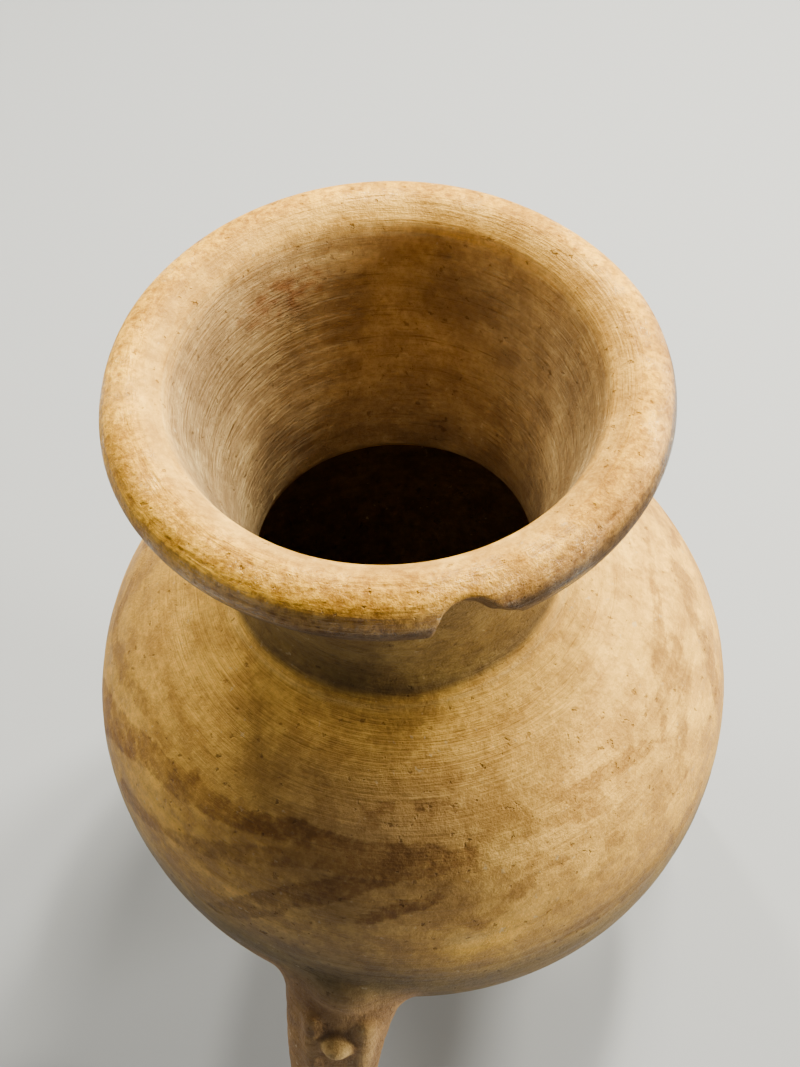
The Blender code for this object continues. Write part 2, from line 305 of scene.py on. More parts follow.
# The photograph's view: the camera's place, its angles, the turn of all of them about Z, and its lens
VIEW_PLACE = (0.07591, -0.24398, 0.61721)
VIEW_YAW = math.radians(-0.41)
VIEW_PITCH = math.radians(54.61)
VIEW_ROLL = math.radians(-2.72)
VIEW_TURN = math.radians(16.5)
SENSOR_HEIGHT = 36.0
FOCAL_LENGTH = 49.93

# Fineness of the mesh, and how its points are brought to the surface
VOXEL = 0.0012
TRIANGLES = 190_000
SETTLE_STEP = 0.0003
SETTLE_REACH = 0.003
LEAST_SLOPE = 0.04


def soft_union(a, b, k):
    """The union of two forms by their distances, with a fillet of about this size between them."""
    h = np.clip(0.5 + 0.5 * (b - a) / k, 0.0, 1.0)
    return b + (a - b) * h - k * h * (1.0 - h)


def soft_cut(a, b, k):
    """The first form without the second one, with its edges rounded by about this size."""
    return -soft_union(-a, b, k)


def wave(p, scale, seed):
    """Smooth noise between about -1 and 1: a few crossed sines with turned directions."""
    rng = np.random.default_rng(seed)
    total = np.zeros(len(p))
    for _ in range(WAVE_COUNT):
        way = rng.normal(size=3)
        way /= np.linalg.norm(way)
        total += np.sin(p @ way * (2 * math.pi / scale) * rng.uniform(0.7, 1.4) + rng.uniform(0, 6.28))
    return total / WAVE_HEIGHT


def bowl(p, radius, rise, drop):
    """Distance to the body's turned superellipse, outside positive."""
    r = np.hypot(p[:, 0], p[:, 1])
    z = p[:, 2] - BELT
    n = np.where(z > 0, SHOULDER_FULLNESS, BELLY_FULLNESS)
    tall = np.where(z > 0, rise, drop)
    a, b = r / radius, np.abs(z) / tall
    g = np.maximum((a ** n + b ** n) ** (1 / n), 1e-3)
    slope = g ** (1 - n) * np.hypot(a ** (n - 1) / radius, b ** (n - 1) / tall)
    return (g - 1) / np.maximum(slope, 1.0)


def shoulder_height(radius):
    """Height of the body's shoulder at this radius."""
    share = min(radius / BODY_RADIUS, 1.0)
    return BELT + SHOULDER_RISE * (1.0 - share ** SHOULDER_FULLNESS) ** (1.0 / SHOULDER_FULLNESS)


BASE = shoulder_height(NECK_RADIUS)
THROAT = NECK_RADIUS - NECK_WALL
RIM_HEIGHT = BASE + NECK_RISE
MOUTH_RATE = (NECK_WALL + MOUTH_FLARE) / (THROAT_RISE + MOUTH_REACH_SHARE * BODY_WALL)


def rim_point(angle):
    """(r, z) on the roll, at this angle round it from its outermost line."""
    return (RIM_RADIUS + 0.5 * RIM_WIDTH * math.cos(angle), RIM_HEIGHT + 0.5 * RIM_THICKNESS * math.sin(angle))


def mouth_radius(height):
    """Radius of the opening between the neck and the body, which widens downwards."""
    return THROAT + MOUTH_RATE * (BASE + THROAT_RISE - height)


def neck_section():
    """The closed (r, z) section of the neck and the rim's roll."""
    root = BASE - NECK_SEAT_SHARE * BODY_WALL
    under, inside = RIM_UNDER_ANGLE, LIP_ANGLE
    ring = [rim_point(0.5 * math.pi + (under - 0.5 * math.pi) * i / 48) for i in range(49)]
    top_r, top_z = ring[-1]
    for i in range(1, 33):
        t = 1.0 - i / 32
        ring.append((NECK_RADIUS + (top_r - NECK_RADIUS) * t ** NECK_FLARE, BASE + (top_z - BASE) * t))
    ring.append((NECK_RADIUS, root))
    ring.append((mouth_radius(root), root))
    in_r, in_z = rim_point(inside)
    low = BASE + THROAT_RISE
    for i in range(32):
        t = i / 32
        ring.append((THROAT + (in_r - THROAT) * t ** THROAT_FLARE, low + (in_z - low) * t))
    for i in range(24):
        ring.append(rim_point(inside + (0.5 * math.pi - inside) * i / 24))
    return np.array(ring)


TABLE_LOW = np.array((0.016, 0.205))
TABLE_STEP = 0.0005
TABLE_SIZE = (160, 270)


def section_table():
    """Signed distance to the neck's section on a grid of (r, z)."""
    ring = neck_section()
    start, end = ring, np.roll(ring, -1, axis=0)
    r, z = np.meshgrid(
        TABLE_LOW[0] + TABLE_STEP * np.arange(TABLE_SIZE[0]),
        TABLE_LOW[1] + TABLE_STEP * np.arange(TABLE_SIZE[1]),
        indexing="ij",
    )
    best = np.full(r.shape, 1e9)
    inside = np.zeros(r.shape, bool)
    for (ar, az), (br, bz) in zip(start, end):
        dr, dz = br - ar, bz - az
        t = np.clip(((r - ar) * dr + (z - az) * dz) / max(dr * dr + dz * dz, 1e-16), 0, 1)
        best = np.minimum(best, np.hypot(r - ar - t * dr, z - az - t * dz))
        if abs(dz) > 1e-12:
            crosses = ((az > z) != (bz > z)) & (r < ar + (z - az) * dr / dz)
            inside ^= crosses
    return np.where(inside, -best, best)


TABLE = section_table()
SHIFT = np.array((math.cos(NECK_SHIFT_ANGLE), math.sin(NECK_SHIFT_ANGLE))) * NECK_SHIFT


def neck(r, z):
    """Distance to neck and rim from the table, and straight on beyond its edges."""
    u, v = (r - TABLE_LOW[0]) / TABLE_STEP, (z - TABLE_LOW[1]) / TABLE_STEP
    cu, cv = np.clip(u, 0, TABLE_SIZE[0] - 1.001), np.clip(v, 0, TABLE_SIZE[1] - 1.001)
    i, j = cu.astype(int), cv.astype(int)
    s, t = cu - i, cv - j
    low = TABLE[i, j] * (1 - s) + TABLE[i + 1, j] * s
    high = TABLE[i, j + 1] * (1 - s) + TABLE[i + 1, j + 1] * s
    return low * (1 - t) + high * t + np.hypot(u - cu, v - cv) * TABLE_STEP


def leg_face(splay, drop):
    """How far out the leg's outer face is, this far below the widest circle."""
    share = np.clip(drop / LEG_SPLAY_DROP, 0.0, 1.0)
    return BODY_RADIUS - LEG_SINK + splay * np.sin(0.5 * math.pi * share)


def leg_lean(splay, drop):
    """How the leg's outer face leans outwards there, in radians."""
    outward = leg_face(splay, drop + SLOPE_STEP) - leg_face(splay, drop - SLOPE_STEP)
    return math.atan2(outward, 2.0 * SLOPE_STEP)


def ellipsoid(p, centre, size, tilt):
    """Distance to an ellipsoid tilted about X."""
    q = p - np.array(centre)
    c, s = math.cos(tilt), math.sin(tilt)
    q = np.stack([q[:, 0], c * q[:, 1] + s * q[:, 2], -s * q[:, 1] + c * q[:, 2]], 1)
    half = 0.5 * np.array(size)
    k0 = np.linalg.norm(q / half, axis=1)
    k1 = np.linalg.norm(q / half ** 2, axis=1)
    return k0 * (k0 - 1.0) / np.maximum(k1, 1e-6)


def face_back(x, drop):
    """How far the leg's round face falls back from its foremost line, this far to the side of it."""
    half, middle, _ = leg_width(np.array([drop]))
    share = min(abs(x - middle[0]) / half[0], SIDE_LIMIT)
    return half[0] * LEG_DEPTH / LEG_WIDTH * (1.0 - math.sqrt(1.0 - share * share))


def pad(p, splay, drop, width, tall, relief):
    """Distance to an oval pad on a leg's outer face."""
    sink = PAD_SINK_SHARE * relief
    centre = (FACE_ASIDE, -(leg_face(splay, drop) - face_back(FACE_ASIDE, drop) - sink), BELT - drop)
    return ellipsoid(p, centre, (width, 2.0 * (relief + sink), tall), -leg_lean(splay, drop))


def limb(p, splay, side):
    """Distance to the ridge down the leg's face on one side of the snout."""
    best = np.full(len(p), 1.0)
    last = None
    for i in range(9):
        t = i / 8
        drop = LIMB_TOP_DROP + LIMB_LENGTH * t
        x = FACE_ASIDE + side * LIMB_SPREAD * (1.0 - LIMB_CLOSING_SHARE * t * t)
        sink = face_back(x, drop) + LIMB_WIDTH * (LIMB_SINK_SHARE + LIMB_FADE_SHARE * t * t)
        point = np.array((x, -(leg_face(splay, drop) - sink), BELT - drop))
        if last is not None:
            way = point - last
            share = np.clip((p - last) @ way / (way @ way), 0, 1)
            best = np.minimum(best, np.linalg.norm(p - last - share[:, None] * way, axis=1))
        last = point
    return best - 0.5 * LIMB_WIDTH


def leg_width(low):
    """Half width and sideways place of a leg's section, this far below the widest circle."""
    share = np.clip(low / (BELT - ANKLE_RISE), 0.0, 1.0)
    half = 0.5 * (LEG_WIDTH + (ANKLE_WIDTH - LEG_WIDTH) * share * share)
    half = half + LEG_FLARE * np.exp(-low / LEG_FLARE_DROP)
    toe = np.clip((low - BELT + ANKLE_RISE) / ANKLE_RISE, 0.0, 1.0)
    half = half + 0.5 * FOOT_SPREAD * toe * toe
    return half, LEG_LEAN_ASIDE * np.exp(-low / LEG_ASIDE_DROP), TOE_REACH * toe * toe


def leg(p, splay):
    """One leg that points to -Y, with its carved face."""
    drop = BELT - p[:, 2]
    low = np.clip(drop, 0.0, BELT)
    half, side_way, toe = leg_width(low)
    deep = half * LEG_DEPTH / LEG_WIDTH
    middle = leg_face(splay, low) + toe - deep
    u, v = (p[:, 0] - side_way) / half, (p[:, 1] + middle) / deep
    g = np.maximum(np.hypot(u, v), 1e-3)
    slope = np.hypot(u / half, v / deep) / g
    bar = (g - 1.0) / np.maximum(slope, 1.0) * 0.94
    brow = pad(p, splay, BROW_DROP, BROW_WIDTH, BROW_HEIGHT, BROW_RELIEF)
    snout = pad(p, splay, SNOUT_DROP, SNOUT_WIDTH, SNOUT_HEIGHT, SNOUT_RELIEF)
    for part in (brow, snout, limb(p, splay, -1.0), limb(p, splay, 1.0)):
        bar = soft_union(bar, part, FACE_FILLET)
    bar = bar + 1.2 * np.maximum(-drop, 0.0)
    return -soft_union(-bar, p[:, 2], FOOT_FILLET)


def turned_back(p, angle):
    """The points turned about Z by minus this angle."""
    c, s = math.cos(angle), math.sin(angle)
    return np.stack([c * p[:, 0] + s * p[:, 1], -s * p[:, 0] + c * p[:, 1], p[:, 2]], 1)


def chip(q):
    """Distance to the scoop that broke out of the roll, with its shallower tail to the right."""
    q = turned_back(q, CHIP_ANGLE + 0.5 * math.pi)
    margin = CHIP_MARGIN_SHARE * CHIP_DEPTH
    rim_r, rim_z = rim_point(CHIP_FACE)
    out = np.array((0.0, -math.cos(CHIP_FACE), math.sin(CHIP_FACE)))
    centre = np.array((0.0, -rim_r, rim_z)) + margin * out
    best = np.full(len(q), 1.0)
    near = np.linalg.norm(q - centre, axis=1) < CHIP_REGION
    part = q[near]
    scoop = ellipsoid(part, centre, (CHIP_LENGTH, 2.0 * (CHIP_DEPTH + margin), CHIP_REACH), -CHIP_FACE)
    shift = TAIL_ALONG_SHARE * CHIP_LENGTH * np.array((1.0, 0.0, 0.0)) + TAIL_OUT_SHARE * CHIP_DEPTH * out
    size = (CHIP_LENGTH, TAIL_DEPTH_SHARE * CHIP_DEPTH, TAIL_REACH_SHARE * CHIP_REACH)
    tail = ellipsoid(part, centre + shift, size, -CHIP_FACE)
    best[near] = soft_union(scoop, tail, TAIL_FILLET) + BREAK_ROUGHNESS * wave(part, BREAK_LENGTH, 5)
    return best


def nicks(q):
    """How far the surface is worn back at the nicks on the roll."""
    back = np.zeros(len(q))
    for azimuth, place, radius, depth in NICKS:
        r, z = rim_point(math.radians(place))
        way = math.radians(azimuth)
        centre = np.array((r * math.cos(way), r * math.sin(way), z))
        back += depth * np.exp(-((q - centre) ** 2).sum(1) / radius ** 2)
    return back


def with_legs(p, solid):
    """The body's distances joined with those of its legs."""
    above, beside, within = LEG_REGION
    for i, splay in enumerate(LEG_SPLAY):
        q = turned_back(p, math.tau * i / 3)
        near = (q[:, 2] < BELT + above) & (np.abs(q[:, 0]) < beside) & (q[:, 1] < -within)
        if near.any():
            solid[near] = soft_union(solid[near], leg(q[near], splay), LEG_FILLET)
    return solid


def hollow(p):
    """Distance to the body's inside."""
    return bowl(p, BODY_RADIUS - BODY_WALL, SHOULDER_RISE - BODY_WALL, BELLY_DROP - BASE_THICKNESS)


def unevenness(p, r, z):
    """The slow wobble and the turning ripples of the surface, which end at the feet."""
    uneven = WOBBLE * wave(p, WOBBLE_LENGTH, 3)
    drift = RIPPLE_DRIFT * np.sin(math.tau * z / RIPPLE_DRIFT_LENGTH)
    rings = RIPPLE * np.sin(math.tau * (z + RIPPLE_SLANT * r) / RIPPLE_LENGTH + drift)
    return np.clip(z / EVEN_FOOT, 0.0, 1.0) * (uneven + rings)


def jar_distance(world):
    """Distance to the whole jar's surface, outside positive."""
    p = world - np.array((0.0, AXIS_Y, 0.0))
    solid = with_legs(p, bowl(p, BODY_RADIUS, SHOULDER_RISE, BELLY_DROP))
    q = p - np.array((SHIFT[0], SHIFT[1], 0.0))
    r, z = np.hypot(q[:, 0], q[:, 1]), q[:, 2]
    outward = np.clip((r - THROAT) / NECK_WALL, 0.0, 1.0)
    solid = soft_union(solid, neck(r, z), LIP_EDGE + (CREASE_FILLET - LIP_EDGE) * outward)
    solid = soft_cut(solid, hollow(p), THROAT_FILLET)
    cone = (r - mouth_radius(z)) / math.hypot(1.0, MOUTH_RATE)
    mouth = np.maximum(cone, BASE - MOUTH_REACH_SHARE * BODY_WALL - z)
    solid = soft_cut(solid, mouth, THROAT_FILLET)
    solid = soft_cut(solid, chip(q), CHIP_FILLET)
    rim = z > RIM_HEIGHT - 0.03
    solid[rim] += nicks(q[rim])
    return solid + unevenness(p, r, z)


# The four directions in which the distance is read to get its slope
CORNERS = np.array(((1, -1, -1), (-1, -1, 1), (-1, 1, -1), (1, 1, 1)), float)


def settle(points, rounds):
    """Moves points onto the jar's surface."""
    for _ in range(rounds):
        values = [jar_distance(points + SETTLE_STEP * corner) for corner in CORNERS]
        slope = sum(value[:, None] * corner for value, corner in zip(values, CORNERS)) / (4 * SETTLE_STEP)
        size = np.maximum((slope ** 2).sum(1), LEAST_SLOPE)
        move = -(sum(values) / 4 / size)[:, None] * slope
        far = np.linalg.norm(move, axis=1)
        move *= np.minimum(1.0, SETTLE_REACH / np.maximum(far, 1e-9))[:, None]
        points = points + move
    return points


def read_mesh(mesh):
    co = np.empty(len(mesh.vertices) * 3, np.float32)
    mesh.vertices.foreach_get("co", co)
    return co.reshape(-1, 3).astype(float)


def write_points(mesh, points):
    mesh.vertices.foreach_set("co", points.astype(np.float32).ravel())
    mesh.update()


def applied(obj):
    """The object's mesh with its modifiers applied, put back on the object."""
    graph = bpy.context.evaluated_depsgraph_get()
    mesh = bpy.data.meshes.new_from_object(obj.evaluated_get(graph))
    obj.modifiers.clear()
    old = obj.data
    obj.data = mesh
    bpy.data.meshes.remove(old)
    return mesh


def fine_jar():
    """The visible jar: the CAD solid remeshed finely, brought to the jar's surface and given its layers."""
    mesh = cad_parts["jar"].data.copy()
    mesh.materials.clear()
    obj = bpy.data.objects.new("painted_jar", mesh)
    bpy.context.scene.collection.objects.link(obj)
    remesh = obj.modifiers.new("Fine", "REMESH")
    remesh.mode = "VOXEL"
    remesh.voxel_size = VOXEL
    mesh = applied(obj)
    write_points(mesh, settle(read_mesh(mesh), 3))
    faces = sum(len(polygon.vertices) - 2 for polygon in mesh.polygons)
    fewer = obj.modifiers.new("Fewer", "DECIMATE")
    fewer.ratio = TRIANGLES / faces
    mesh = applied(obj)
    write_points(mesh, settle(read_mesh(mesh), 2))
    mesh.polygons.foreach_set("use_smooth", [True] * len(mesh.polygons))
    store(mesh, zones(read_mesh(mesh) - np.array((0.0, AXIS_Y, 0.0))))
    print("jar mesh", faces, len(mesh.polygons), "triangles")
    return obj


def smooth(value, low, high):
    """0 up to the low value and 1 from the high one, with a soft passage between them."""
    share = np.clip((value - low) / (high - low), 0.0, 1.0)
    return share * share * (3.0 - 2.0 * share)


QUARTER = np.linspace(0.0, 0.5 * math.pi, 400)


def quarter_profile(tall, fullness):
    """(r, z, arc length) of the body's superellipse from the widest circle to the crown."""
    share = 2.0 / fullness
    r, z = BODY_RADIUS * np.cos(QUARTER) ** share, tall * np.sin(QUARTER) ** share
    return r, z, np.concatenate([[0.0], np.cumsum(np.hypot(np.diff(r), np.diff(z)))])


UPPER = quarter_profile(SHOULDER_RISE, SHOULDER_FULLNESS)
LOWER = quarter_profile(BELLY_DROP, BELLY_FULLNESS)


def arc_of(p):
    """Distance along the body's profile from the widest circle, positive above it."""
    r, z = np.hypot(p[:, 0], p[:, 1]), p[:, 2] - BELT
    up = z > 0
    fullness = np.where(up, SHOULDER_FULLNESS, BELLY_FULLNESS)
    across = (r / BODY_RADIUS) ** (0.5 * fullness)
    along = (np.abs(z) / np.where(up, SHOULDER_RISE, BELLY_DROP)) ** (0.5 * fullness)
    angle = np.arctan2(along, across)
    return np.where(up, np.interp(angle, QUARTER, UPPER[2]), -np.interp(angle, QUARTER, LOWER[2]))


def on_body(azimuth, arc):
    """The point of the body's surface at this azimuth and arc length above the widest circle."""
    r = np.where(arc > 0, np.interp(arc, UPPER[2], UPPER[0]), np.interp(-arc, LOWER[2], LOWER[0]))
    z = np.where(arc > 0, np.interp(arc, UPPER[2], UPPER[1]), -np.interp(-arc, LOWER[2], LOWER[1]))
    way = np.radians(azimuth)
    return np.stack([r * np.cos(way), r * np.sin(way), BELT + z], -1)


def stroke_distance(p, stroke, back):
    """Distance to the edge of one brush stroke in millimetres, negative inside it."""
    points = np.array(stroke[1:], float)
    if back:
        points[:, 0] = BACK_MIDDLE + BACK_SHARE * (points[:, 0] - PATTERN_MIDDLE)
    steps = np.maximum(np.abs(np.diff(points[:, 0])) // STROKE_STEP + 1, 2).astype(int)
    rows = [points[:1]]
    for start, end, count in zip(points[:-1], points[1:], steps):
        rows.append(start + (end - start) * np.linspace(0, 1, count + 1)[1:, None])
    rows = np.concatenate(rows)
    line = on_body(rows[:, 0], 0.001 * rows[:, 1])
    best = np.full(len(p), FAR_OFF)
    for a, b, wide_a, wide_b in zip(line[:-1], line[1:], rows[:-1, 2], rows[1:, 2]):
        way = b - a
        share = np.clip((p - a) @ way / (way @ way), 0, 1)
        far = np.linalg.norm(p - a - share[:, None] * way, axis=1) * 1000
        best = np.minimum(best, far - wide_a - (wide_b - wide_a) * share)
    return best


def painted(p, strokes):
    """Distance to the nearest stroke's edge and the strength of the strokes near it."""
    best, weight, strength = np.full(len(p), FAR_OFF), np.full(len(p), 1e-6), np.zeros(len(p))
    for back in (False, True):
        for stroke in strokes:
            far = stroke_distance(p, stroke, back)
            near = np.exp(-np.clip(far, -2.0, 20.0) / STROKE_REACH)
            weight += near
            strength += near * stroke[0]
            best = np.minimum(best, far)
    return best, strength / weight


def peak(value, middle, half):
    """1 at the middle, falling away to both sides within about this half width."""
    return np.exp(-((value - middle) / half) ** 2)


def blend(colour, other, share):
    """The colour moved towards another one by each point's share."""
    return colour + (np.array(other) - colour) * share[:, None]


def inner_red(q):
    """Share of the reddened clay on the inside of the neck, at the back left."""
    way, height = math.radians(RED_PLACE[0]), BASE + RED_PLACE[1]
    turn = np.arctan2(q[:, 1], q[:, 0]) - way
    gap = RED_RADIUS * np.abs((turn + math.pi) % math.tau - math.pi)
    blot = np.exp(-(gap / 0.016) ** 2 - ((q[:, 2] - height) / 0.006) ** 2)
    return np.clip(2.2 * blot * (0.5 + 0.7 * wave(q, 0.005, 11)) - 0.2, 0.0, 0.9)


def face_tones(s, splay):
    """Shares of painted highlight on a leg's snout and limbs, and of painted shadow in the hollow above the
    snout.
    """
    pale, dark = np.zeros(len(s)), np.zeros(len(s))
    near = (s[:, 2] < BELT) & (s[:, 2] > 0.02) & (s[:, 1] < -0.08) & (np.abs(s[:, 0]) < 0.03)
    part = s[near]
    snout = pad(part, splay, SNOUT_DROP, SNOUT_WIDTH, SNOUT_HEIGHT, SNOUT_RELIEF)
    limbs = np.minimum(limb(part, splay, -1.0), limb(part, splay, 1.0))
    pale[near] = np.maximum(smooth(0.0009 - snout, 0.0, 0.0012), 0.4 * smooth(0.0006 - limbs, 0.0, 0.0010))
    x, z = part[:, 0] - FACE_ASIDE, part[:, 2] - (BELT - SNOUT_DROP)
    dark[near] = np.exp(-(x / 0.0075) ** 2 - ((z - 0.0080) / 0.0026) ** 2)
    return pale, dark


def places(p):
    """Where each point lies round and up the body and the neck, and its share in each part of the jar."""
    q = p - np.array((SHIFT[0], SHIFT[1], 0.0))
    r, z = np.hypot(q[:, 0], q[:, 1]), q[:, 2]
    rise = np.clip((z - BASE) / (RIM_HEIGHT - BASE), 0.0, 1.0)
    flare = RIM_RADIUS - RIM_WIDTH * 0.35 - NECK_RADIUS
    middle = 0.5 * (NECK_RADIUS + THROAT) + flare * rise ** MIDDLE_FLARE
    inside = smooth(middle - r, -0.0025, 0.0015) * smooth(z, BASE - 0.004, BASE)
    inside = np.maximum(inside, smooth(z, BASE, BASE + 0.004) * (r < middle))
    in_body = (hollow(p) < 0.0012) * smooth(BASE + 0.004 - z, 0.0, 0.003)
    roll = smooth(z, RIM_HEIGHT - 0.012, RIM_HEIGHT - 0.008) * (np.abs(r - RIM_RADIUS) < 0.02)
    round_roll = np.degrees(np.arctan2(z - RIM_HEIGHT, r - RIM_RADIUS))
    crest = smooth(round_roll, -25, 5) * smooth(128 - round_roll, 0, 42) * roll
    return SimpleNamespace(
        p=p, q=q, r=r, z=z, arc=arc_of(p), azimuth=np.degrees(np.arctan2(p[:, 1], p[:, 0])),
        inside=inside, in_body=in_body, roll=roll, round_roll=round_roll, crest=crest,
    )


def body_tones(at):
    """The body's slip with its stains, some of them partly painted shade, and painted shade on its underside."""
    colour = np.tile(np.array(BUFF), (len(at.p), 1))
    radius_mm = np.hypot(at.p[:, 0], at.p[:, 1]) * 1000
    for azimuth, height, wide, tall, tone, share in STAINS:
        gap = np.radians((at.azimuth - azimuth + 180) % 360 - 180) * radius_mm
        colour = blend(colour, tone, share * peak(gap, 0.0, wide) * peak(1000 * at.arc, height, tall))
    # Painted shade: the body darkens as it turns under towards the legs.
    return blend(colour, UNDERSIDE_SHADE, 0.85 * smooth(-at.arc, -0.030, 0.006))


def neck_tones(at, colour):
    """Painted shade on the neck's outside under the rim, with a painted dark line in the crease at its foot and
    a painted highlight just outside it.
    """
    above = smooth(at.z, BASE - 0.004, BASE)
    on_neck = np.maximum(smooth(CREASE_EDGE - at.r, 0.0, 0.0022), smooth(at.z, BASE + 0.006, BASE + 0.012))
    below_rim = 1 - smooth(at.round_roll, -60, -20)
    at_foot = above * smooth(BASE + 0.014 - at.z, 0.0, 0.003)
    colour = blend(colour, NECK_SHADE, 0.85 * on_neck * below_rim * above)
    # Painted shade: a dark line in the crease at the neck's foot.
    colour = blend(colour, RIM_BROWN_AND_SHADE, 0.45 * peak(at.r, CREASE_LINE, 0.0008) * at_foot)
    # Painted highlight: a pale line just outside the crease, where the shoulder catches the light.
    return blend(colour, PALE_SCRATCH_AND_HIGHLIGHT, 0.40 * peak(at.r, CREASE_EDGE + 0.0010, 0.0006) * at_foot)


def mouth_tones(at, colour):
    """The neck's inside, from the pale lip down to the throat, with painted shade deeper down."""
    here = at.inside * (1 - at.in_body)
    colour = blend(colour, LIP_TAN, here)
    colour = blend(colour, NECK_TAN, here * smooth(RIM_HEIGHT + 0.006 - at.z, 0.0, 0.020))
    colour = blend(colour, INNER_RED, 0.8 * at.inside * inner_red(at.q))
    # Painted shade: the inside darkens deeper down the neck.
    return blend(colour, THROAT_SHADE, 0.55 * at.inside * smooth(RIM_HEIGHT - at.z, 0.030, 0.085))


def rim_tones(at, colour):
    """The roll's golden crest, and its lower outer face: partly its own darker brown, mostly painted shade,
    reaching higher on the right than on the left.
    """
    outer = at.roll * (1 - at.inside)
    shade_edge = SHADE_EDGE_MIDDLE + SHADE_EDGE_SWING * np.cos(np.radians(at.azimuth + SHADE_EDGE_TURN))
    low = smooth(shade_edge - at.round_roll, 0, 26) * smooth(175 + at.round_roll, 0, 40)
    colour = blend(colour, GOLDEN, 0.85 * at.crest)
    colour = blend(colour, RIM_TAN, 0.6 * smooth(shade_edge + 38 - at.round_roll, 0, 34) * outer)
    # Painted shade on the roll's lower outer face, over its own darker brown.
    colour = blend(colour, RIM_BROWN_AND_SHADE, 0.92 * low * outer)
    return blend(colour, PALE_SCRATCH_AND_HIGHLIGHT, 0.35 * at.roll * peak(at.round_roll, LIP_LINE, 5.0))


def leg_tones(at, colour):
    """The colour with the legs' darker clay, the painted highlights and shadows on their faces, and each point's
    share in a leg.
    """
    leg_share = np.zeros(len(at.p))
    faces = []
    for i, splay in enumerate(LEG_SPLAY):
        s = turned_back(at.p, math.tau * i / 3)
        share = smooth(-s[:, 1] - (BODY_RADIUS - 0.016), -0.004, 0.004)
        share = share * smooth(BELT - s[:, 2], 0.002, 0.020) * smooth(0.034 - np.abs(s[:, 0]), 0.0, 0.010)
        leg_share = np.maximum(leg_share, share * (1 - at.in_body))
        pale, dark = face_tones(s, splay)
        faces.append((pale * (share > 0.01), dark * (share > 0.01)))
    colour = blend(colour, LEG_BROWN, 0.8 * leg_share)
    for pale, dark in faces:
        # Painted highlight on each snout and its limbs, and painted shadow in the hollow above the snout.
        colour = blend(colour, PALE_SCRATCH_AND_HIGHLIGHT, 0.55 * pale)
        colour = blend(colour, RIM_BROWN_AND_SHADE, 0.6 * dark)
    return colour, leg_share


def paint_layer(at):
    """Millimetres to the nearest stroke, that stroke's strength, and millimetres to the nearest bare stroke."""
    count = len(at.p)
    outer = (1 - at.inside) * (1 - at.in_body) * (1 - at.roll)
    outer = outer * smooth(PAINT_TOP - at.arc, 0.0, 0.01) * (at.arc > -0.03)
    here = outer > 0
    dark, strength, bare = np.full(count, FAR_OFF), np.zeros(count), np.full(count, FAR_OFF)
    dark[here], strength[here] = painted(at.p[here], STROKES)
    bare[here], _ = painted(at.p[here], BARE_STROKES)
    return np.stack([dark, strength * outer, bare], 1)


def zones(p):
    """The mesh's layers: colour, paint, the direction of turning, and finish (crest, ringed clay, leg)."""
    at = places(p)
    colour = rim_tones(at, mouth_tones(at, neck_tones(at, body_tones(at))))
    # Painted shade inside the body, below the neck.
    colour = blend(colour, HOLLOW_SHADE, at.in_body * smooth(BASE - at.z, -0.001, 0.012))
    # The chip's broken face, darkened as painted shade.
    colour = blend(colour, BREAK_AND_SHADE, 0.5 * smooth(0.0008 - chip(at.q), 0.0, 0.0005))
    colour, leg_share = leg_tones(at, colour)
    foot = smooth(0.084 - at.r, 0.0, 0.020) * smooth(at.z, BASE - 0.020, BASE - 0.010)
    foot = foot * (1 - at.inside) * (1 - at.roll)
    ringed = np.maximum(at.inside * (1 - at.in_body), 0.6 * foot)
    way = np.arctan2(at.q[:, 1], at.q[:, 0])
    along = np.where(at.inside + at.roll > 0.5, at.z + 0.5 * at.r, at.arc)
    return {
        "tint": np.concatenate([colour, np.ones((len(p), 1))], 1),
        "paint": paint_layer(at),
        "turning": np.stack([np.cos(way), np.sin(way), along], 1),
        "finish": np.stack([at.crest, ringed, leg_share], 1),
    }


def store(mesh, layers):
    """Writes each layer to the mesh, point by point."""
    for name, values in layers.items():
        kind, key = ("FLOAT_COLOR", "color") if values.shape[1] == 4 else ("FLOAT_VECTOR", "vector")
        layer = mesh.attributes.new(name, kind, "POINT")
        layer.data.foreach_set(key, values.astype(np.float32).ravel())


def node(tree, kind, inputs, **settings):
    """A shader node with its settings, and its inputs linked or set. An input's key is its name or number."""
    made = tree.nodes.new(kind)
    for key, value in settings.items():
        setattr(made, key, value)
    for key, value in inputs.items():
        if isinstance(value, bpy.types.NodeSocket):
            tree.links.new(value, made.inputs[key])
        else:
            made.inputs[key].default_value = value
    return made


def sums(tree, operation, *values):
    """The result of a Math node with this operation."""
    return node(tree, "ShaderNodeMath", dict(enumerate(values)), operation=operation).outputs[0]


def times(tree, a, b):
    return sums(tree, "MULTIPLY", a, b)


def times_plus(tree, a, b, c):
    return sums(tree, "MULTIPLY_ADD", a, b, c)


def larger(tree, a, b):
    return sums(tree, "MAXIMUM", a, b)


def centred(tree, value):
    """A noise about zero instead of about a half."""
    return sums(tree, "SUBTRACT", value, 0.5)


def step(tree, value, low, high, start=0.0, end=1.0):
    """From start to end, with a soft passage between the value's low and high."""
    inputs = {"Value": value, "From Min": low, "From Max": high, "To Min": start, "To Max": end}
    return node(tree, "ShaderNodeMapRange", inputs, interpolation_type="SMOOTHSTEP").outputs[0]


def mix(tree, share, a, b, how="MIX"):
    inputs = {0: share, 6: a, 7: b}
    return node(tree, "ShaderNodeMix", inputs, data_type="RGBA", blend_type=how).outputs[2]


